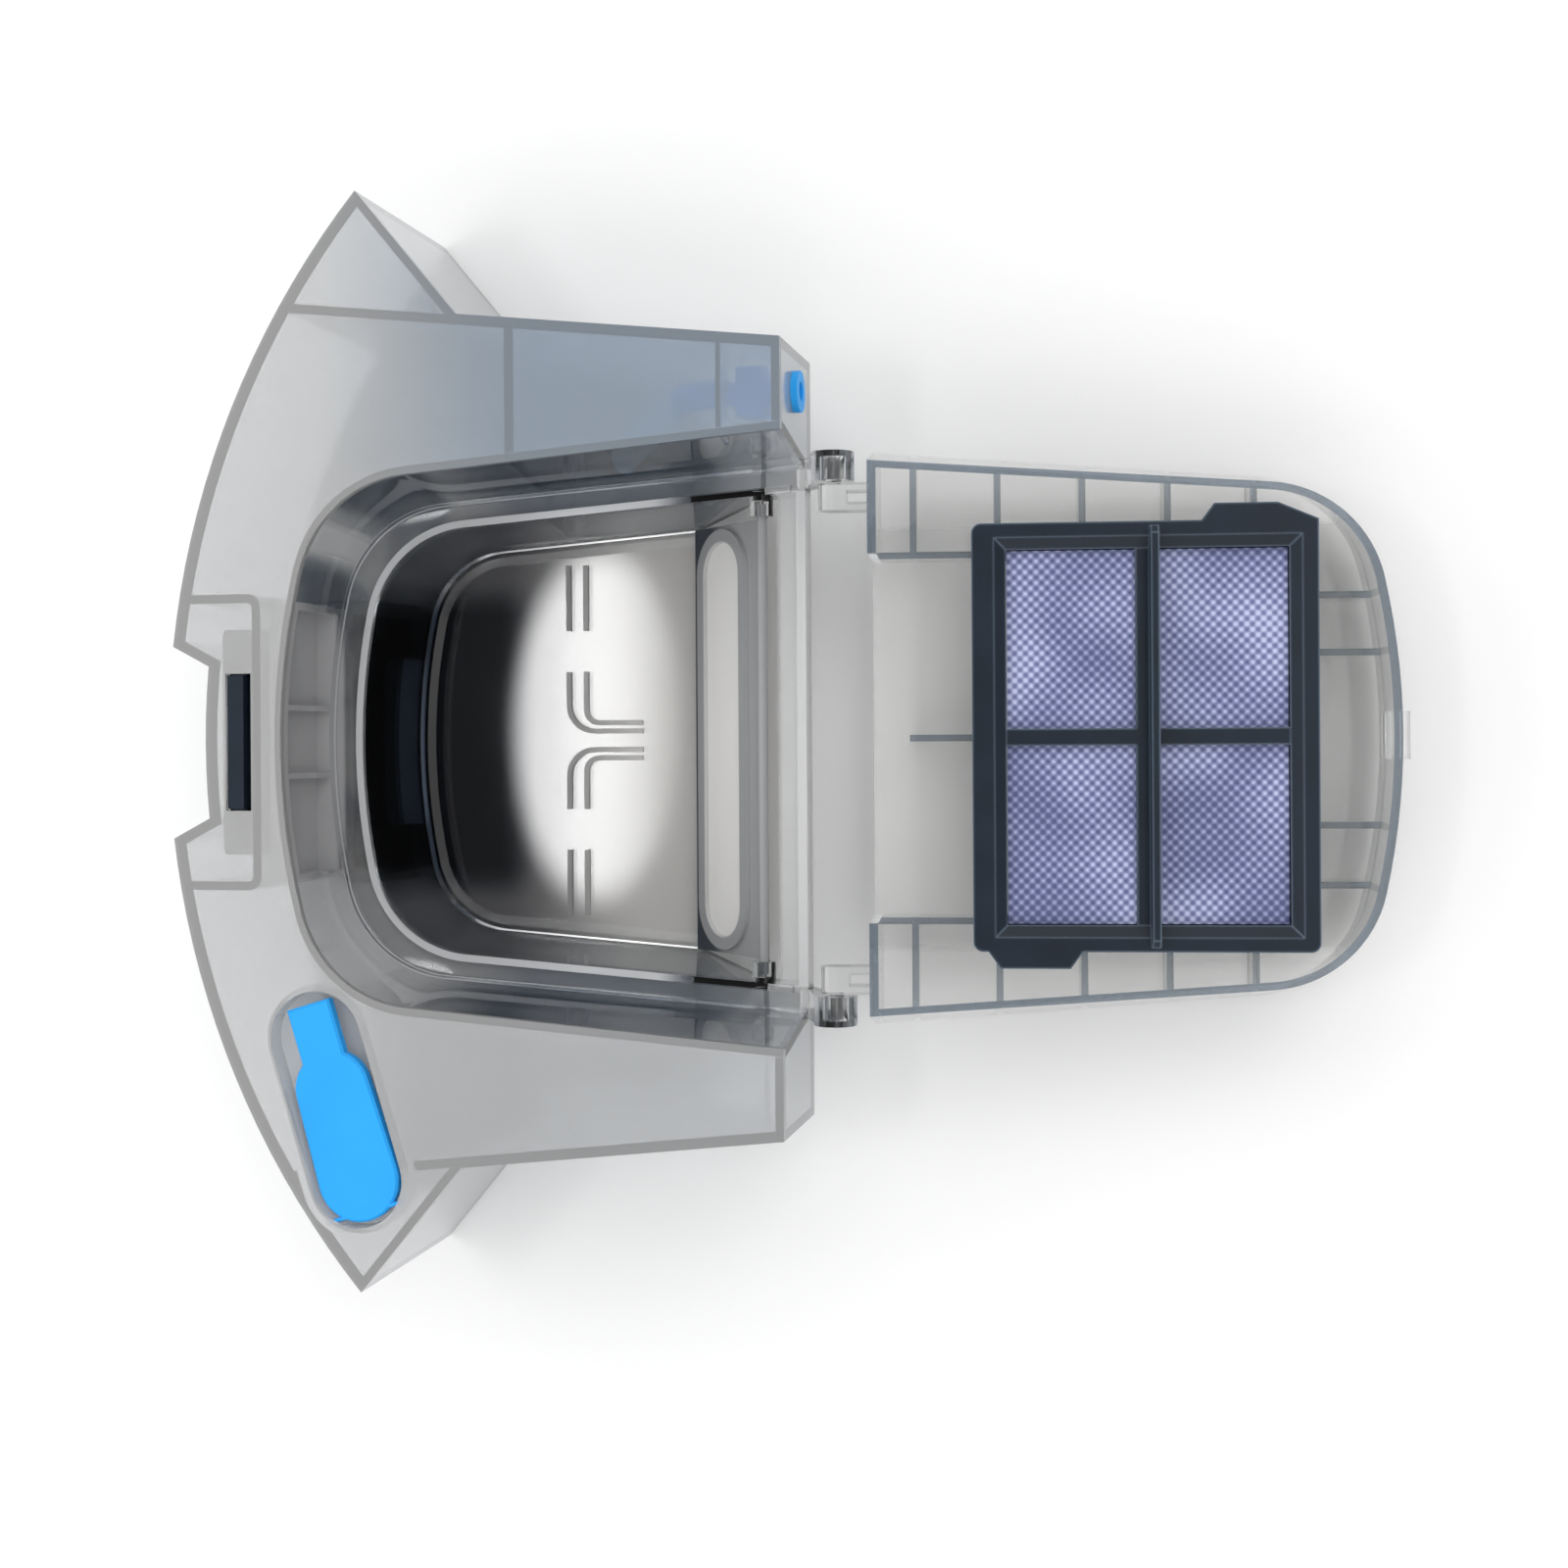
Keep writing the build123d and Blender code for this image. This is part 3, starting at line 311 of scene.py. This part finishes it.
def shade_recess(mat, rearward, sideways, height):
    """Recess over the ledge: painted reflection streaks, sides darker in the front half, and a paler,
    hazy sill, latch pocket, lip and corners, which hold painted light and painted highlights.
    """
    reflection_streak_grey, darker_sides, sill_painted_light = (0.46, 0.49, 0.53), (0.38, 0.42, 0.48), (0.98, 0.98, 0.98)
    milky_pocket_painted_light, lip_painted_highlight = (0.62, 0.62, 0.63), (0.92, 0.93, 0.95)
    high = fade(mat, height, *RECESS_Z)
    drawn_out = vector_maths(mat, "MULTIPLY", object_place(mat), STREAK_SHAPE).outputs["Vector"]
    streak = add_node(mat, "ShaderNodeTexNoise", Vector=drawn_out, Scale=48, Detail=2.0).outputs["Fac"]
    # Painted reflection streaks on the recess walls
    shaded(mat, reflection_streak_grey, high, fade(mat, streak, *DARK_STREAKS))
    # Darker in the front half of the recess, short of the hinge
    darkening = [fade(mat, rearward, *span) for span in (SIDES_DARKER_FROM_REAR, SIDES_DARKER_FROM_HINGE)]
    shaded(mat, darker_sides, high, *darkening)

    # Painted light: the sill is paler and hazier
    sill = maths(mat, "MULTIPLY", fade(mat, rearward, *SILL), fade(mat, sideways, *SILL_Y))
    shaded(mat, sill_painted_light, sill)
    # Milky latch pocket, lifted by painted light
    beside_latch = fade(mat, sideways, *LATCH_POCKET_Y)
    pocket = maths(mat, "MULTIPLY", fade(mat, rearward, *LATCH_POCKET), beside_latch, high)
    shaded(mat, milky_pocket_painted_light, pocket)
    # Painted highlight along the lip
    behind_sill = fade(mat, rearward, *LIP_SHINES)
    lip = maths(mat, "MULTIPLY", band(mat, height, *LIP_BAND, soft=0.3), behind_sill)
    shaded(mat, lip_painted_highlight, lip)

    # Haze takes away clearness, most of all in the pocket and on the lip; it paints light there, a
    # painted highlight on lip and ledge, painted light on pocket, sill and corner streaks
    ledge = maths(mat, "MULTIPLY", band(mat, height, *LEDGE_BAND, soft=0.2), behind_sill, LEDGE_HIGHLIGHT_HAZE)
    rim = maths(mat, "ADD", lip, ledge)
    # Pale painted reflection streaks in the upper corners, made by haze
    corner = maths(mat, "MULTIPLY", fade(mat, height, *RECESS_WALL_Z), fade(mat, rearward, *CORNERS_PALE))
    pale_reflection_streak = maths(mat, "MULTIPLY", corner, fade(mat, streak, *PALE_STREAKS), CORNER_REFLECTION_HAZE)
    haze = maths(mat, "MAXIMUM", pocket, rim, pale_reflection_streak, maths(mat, "MULTIPLY", sill, SILL_PAINTED_LIGHT_HAZE))
    feed(mat, spread(mat, haze, 1.0, HAZY_CLEARNESS), shader_input(mat, "Transmission Weight"))


def bin_smoke():
    """Clear smoked bin with the lid's recess above it."""
    mat = material("bin_smoke", (0.96, 0.96, 0.96), 0.035, Transmission_Weight=1.0, IOR=CLEAR_IOR)
    mottle(mat, scale=40, tint_share=0.02, rough_step=0.015)
    absorb(mat, (0.40, 0.45, 0.52), density=32)
    place = along(mat, REAR), off_centre(mat), along(mat, UP)
    shade_bin_floor(mat, *place)
    dull_floor_ribs(mat, *place)
    shade_recess(mat, *place)
    return mat


# The lid droops when open, by what its hinge turns past half a turn
LID_DROOP = math.radians(joints["lid_hinge"]["range_deg"][1] - 180.0)
# Heights over the hinge, square to the drooping lid, and distances from its middle plane, in millimetres
LID_RIM_TOP = (7.4, 7.9)
LID_RIB_BAND = (-6.3, -5.9)
LID_CHANNEL_Y = (44.0, 46.0)
LID_CLEARNESS = 0.72
LID_CHANNEL_CLEARNESS = 0.96


def lid_smoke():
    """Smoked lid: the tops of rim and ribs look dark, as thick plastic does, the side channels clear."""
    tint = (0.985, 0.985, 0.97)
    mat = material("lid_smoke", tint, 0.06, Transmission_Weight=LID_CLEARNESS, IOR=CLEAR_IOR)
    mottle(mat, scale=35, tint_share=0.02, rough_step=0.02)
    absorb(mat, (0.48, 0.56, 0.64), density=14)
    lid_up = (math.sin(LID_DROOP), 0, math.cos(LID_DROOP))
    height = along(mat, lid_up, joint_place("lid_hinge"))
    shaded(mat, (0.16, 0.20, 0.25), fade(mat, height, *LID_RIM_TOP))
    shaded(mat, (0.22, 0.26, 0.30), band(mat, height, *LID_RIB_BAND, soft=0.4))
    channel = fade(mat, off_centre(mat), *LID_CHANNEL_Y)
    clearness = spread(mat, channel, LID_CLEARNESS, LID_CHANNEL_CLEARNESS)
    feed(mat, clearness, shader_input(mat, "Transmission Weight"))
    return mat


# The flap lies on the slope below its hinge
FLAP_SLOPE = math.radians(45.0)
FLAP_LOWER_EDGE = (13.0, 20.0)
# Its raised ring: half of the straight part, the middle's way down the slope, radii inside and outside
FLAP_RING_HALF = 36.0
FLAP_RING_MIDDLE = 14.35
FLAP_RING_INSIDE = (7.6, 6.8)
FLAP_RING_OUTSIDE = (9.9, 10.4)


def flap_soft():
    """Soft flap: smoky border, darkest along its lower edge, and a pale field inside the ring."""
    mat = material("flap_soft", (0.42, 0.43, 0.44), 0.2, Transmission_Weight=0.30, IOR=SOFT_IOR)
    mottle(mat, scale=60, tint_share=0.02, rough_step=0.04)
    downhill = (-math.sin(FLAP_SLOPE), 0, -math.cos(FLAP_SLOPE))
    down = along(mat, downhill, joint_place("flap_hinge"))
    past_straight = maths(mat, "MAXIMUM", maths(mat, "SUBTRACT", off_centre(mat), FLAP_RING_HALF), 0.0)
    reach = distance(mat, past_straight, maths(mat, "SUBTRACT", down, FLAP_RING_MIDDLE))
    shaded(mat, (0.99, 0.98, 0.96), fade(mat, reach, *FLAP_RING_INSIDE))
    outside = fade(mat, reach, *FLAP_RING_OUTSIDE)
    return shaded(mat, (0.07, 0.08, 0.10), outside, fade(mat, down, *FLAP_LOWER_EDGE))


def black_plastic(name):
    """Satin black moulding."""
    mat = material(name, (0.006, 0.013, 0.024), 0.38, Specular_IOR_Level=0.3)
    return mottle(mat, scale=90, tint_share=0.15, rough_step=0.06)


def satin_black():
    """Filter frame: grained, with painted highlights along its edges."""
    mat = grain(black_plastic("satin_black"), scale=900, strength=0.15)
    return edge_painted_highlight(mat, (0.11, 0.15, 0.20), radius=0.0007)


# The pale part of the slider's block lies behind the one and below the other, in millimetres
SLIDER_BLOCK_X = (-48.0, -49.0)
SLIDER_BLOCK_Z = (47.0, 46.0)


def slider_black():
    """Release slider: black where it shows, its block below the frosted cover is pale."""
    mat = black_plastic("slider_black")
    block = fade(mat, along(mat, FRONT), *SLIDER_BLOCK_X)
    return shaded(mat, (0.62, 0.64, 0.66), block, fade(mat, along(mat, UP), *SLIDER_BLOCK_Z))


# Distance between the threads, in millimetres, and how much the patches outweigh them
MESH_PITCH = 1.1
MESH_PATCHINESS = 2.6


def violet_mesh():
    """Woven mesh: light and dark by turns both ways, with uneven soft patches of painted highlight and
    shade.
    """
    mat = material("violet_mesh", (0.20, 0.22, 0.40), 0.6)
    angles = [maths(mat, "MULTIPLY", along(mat, way), math.pi / MESH_PITCH) for way in (FRONT, LEFT)]
    weave = maths(mat, "MULTIPLY", *[unary(mat, "SINE", angle) for angle in angles])
    # Soft patches of painted highlight and shade
    patches = noise(mat, scale=48, detail=1.0)
    level = maths(mat, "ADD", patches, maths(mat, "DIVIDE", weave, MESH_PATCHINESS))
    hole, thread, glint = (0.075, 0.09, 0.21), (0.22, 0.245, 0.45), (0.54, 0.58, 0.82)
    cloth = colour_ramp(mat, level, ((0.15, hole), (0.55, thread), (0.95, glint)))
    feed(mat, cloth, shader_input(mat, "Base Color"))
    return mat


def filter_paper():
    """Pleated paper."""
    mat = material("filter_paper", (0.74, 0.74, 0.70), 0.9)
    mottle(mat, scale=120, tint_share=0.04, rough_step=0.05)
    return grain(mat, scale=1200, strength=0.2)


def black_foam():
    """Gasket of the filter."""
    mat = material("black_foam", (0.015, 0.015, 0.017), 0.8)
    mottle(mat, scale=200, tint_share=0.2, rough_step=0.1)
    return grain(mat, scale=1500, strength=0.3)


def blue_silicone():
    """Filler plug and outlet seal."""
    mat = material("blue_silicone", (0.020, 0.385, 0.93), 0.5, Specular_IOR_Level=0.3)
    mottle(mat, scale=60, tint_share=0.04, rough_step=0.06)
    return grain(mat, scale=900, strength=0.08)


HOSE_BLUE = (0.02, 0.33, 0.95)
HOSE_SLEEVE_X = (36.5, 37.5)


def pale_blue():
    """Hose connector."""
    mat = material("pale_blue", HOSE_BLUE, 0.3)
    return mottle(mat, scale=60, tint_share=0.05, rough_step=0.05)


def milky_hose():
    """Milky hose, with a blue sleeve at its connector."""
    mat = material("milky_hose", (0.58, 0.82, 0.98), 0.35, Transmission_Weight=0.2)
    mottle(mat, scale=60, tint_share=0.03, rough_step=0.05)
    return shaded(mat, HOSE_BLUE, fade(mat, along(mat, FRONT), *HOSE_SLEEVE_X))


def dress(mat, *names):
    """One material on CAD nodes."""
    for name in names:
        mesh = nodes[name].data
        mesh.materials.clear()
        mesh.materials.append(mat)


# In metres
FLOOR_SIZE = 60.0
FLOOR_Z = -0.0004


def add_floor():
    """Pale floor for the object's soft shadow, just under the base."""
    bpy.ops.mesh.primitive_plane_add(size=FLOOR_SIZE, location=(0.0, 0.0, FLOOR_Z))
    floor = bpy.context.object
    floor.name = "floor"
    pale = material("floor_pale", (0.96, 0.96, 0.96), 0.9)
    floor.data.materials.append(mottle(pale, scale=3, tint_share=0.01, rough_step=0.02))


# Brightness of the light tent by how much a direction rises, from level to the middle of the dark patch
TENT_LEVELS = ((0.0, 0.25), (0.25, 0.35), (0.42, 1.0), (0.84, 1.0), (0.92, 0.16), (1.0, 0.13))
DARK_PATCH_HEADING = (-0.27, 0.0, 1.0)
TENT_STRENGTH = 1.36
HORIZON_RISE = (0.20, 0.13)


def studio():
    """Light tent: a bright band all round, dark overhead, with a white backdrop along the horizon."""
    world = bpy.data.worlds.new("studio")
    world.use_nodes = True
    heading = add_node(world, "ShaderNodeTexCoord").outputs["Generated"]
    rise = dot(world, heading, Vector(DARK_PATCH_HEADING).normalized())
    tent = colour_ramp(world, rise, [(position, 3 * (level,)) for position, level in TENT_LEVELS])
    # Uneven like a real room, so that the walls of the clear plastic show streaks
    room = add_node(world, "ShaderNodeTexNoise", Vector=heading, Scale=2.2, Detail=1.0).outputs["Fac"]
    patches = spread(world, room, 0.45, 1.55, start=0.35, end=0.65)
    light = maths(world, "MULTIPLY", patches, TENT_STRENGTH, tent)
    climb = add_node(world, "ShaderNodeSeparateXYZ", Vector=heading).outputs["Z"]
    strength = spread(world, fade(world, climb, *HORIZON_RISE), light, 1.0)
    background = world.node_tree.nodes["Background"]
    background.inputs["Color"].default_value = (1.0, 1.0, 1.0, 1.0)
    feed(world, strength, background.inputs["Strength"])
    return world


def lamp(name, place, target, sizes, power):
    """Oval lamp that looks at a point, with its two diameters in metres."""
    light = bpy.data.lights.new(name, "AREA")
    light.shape = "ELLIPSE"
    light.size, light.size_y = sizes
    light.energy = power
    holder = bpy.data.objects.new(name, light)
    scene.collection.objects.link(holder)
    holder.location = place
    holder.rotation_euler = (Vector(target) - Vector(place)).to_track_quat("-Z", "Y").to_euler()
    return light


def soften(light):
    """Soft edge all round a lamp, and a slow fade across its short way, as shares of its sizes."""
    light.use_nodes = True
    middle, edge, side = 0.5, (0.5, 0.36), (1.05, 0.35)
    surface = add_node(light, "ShaderNodeNewGeometry").outputs["Parametric"]
    spot = add_node(light, "ShaderNodeSeparateXYZ", Vector=surface).outputs
    radius = distance(light, *[maths(light, "SUBTRACT", spot[axis], middle) for axis in ("X", "Y")])
    glow = maths(light, "MULTIPLY", fade(light, radius, *edge), fade(light, spot["Y"], *side))
    feed(light, glow, light.node_tree.nodes["Emission"].inputs["Strength"])


def photo_camera(place, lean, roll):
    """Camera at the photograph's view, above the hinge: it leans towards the tank, angles in degrees."""
    view = bpy.data.cameras.new("photo_view")
    view.sensor_width = 36.0
    view.lens = 47.25
    view.shift_y = -0.0269
    view.clip_start = 0.01
    lean, roll = math.radians(lean), math.radians(roll)
    right = Vector((math.cos(lean), 0.0, -math.sin(lean)))
    up = Vector((0.0, 1.0, 0.0))
    turned_right = math.cos(roll) * right - math.sin(roll) * up
    turned_up = math.sin(roll) * right + math.cos(roll) * up
    axes = Matrix((turned_right, turned_up, right.cross(up))).transposed()
    camera = bpy.data.objects.new("photo_view", view)
    scene.collection.objects.link(camera)
    camera.matrix_world = Matrix.Translation(place) @ axes.to_4x4()
    return camera


dress(tank_smoke(), "tank_body")
dress(cover_frost(), "tank_cover")
dress(bin_smoke(), "dust_bin")
dress(lid_smoke(), "lid_shell")
dress(flap_soft(), "inlet_flap")
dress(satin_black(), "filter_frame")
dress(violet_mesh(), "filter_mesh")
dress(filter_paper(), "filter_media")
dress(black_foam(), "filter_gasket")
dress(slider_black(), "release_slider")
dress(blue_silicone(), "filler_plug", "outlet_seal")
dress(pale_blue(), "hose_connector")
dress(milky_hose(), "suction_hose")

add_floor()
scene.view_settings.view_transform = "Standard"
scene.world = studio()
# The key lamp's mirror image lies in the floor of the bin and fades towards the hinge
key = lamp("key", (-0.2945, 0.0125, 0.994), target=(0.0045, 0.0035, 0.0), sizes=(0.29, 0.142), power=1.3)
soften(key)
lamp("fill", (0.7, 0.6, 1.0), target=(0.05, 0.0, 0.0), sizes=(0.8, 0.8), power=1.5)
scene.camera = photo_camera((0.1491, -0.0006, 0.4527), lean=11.96, roll=0.35)
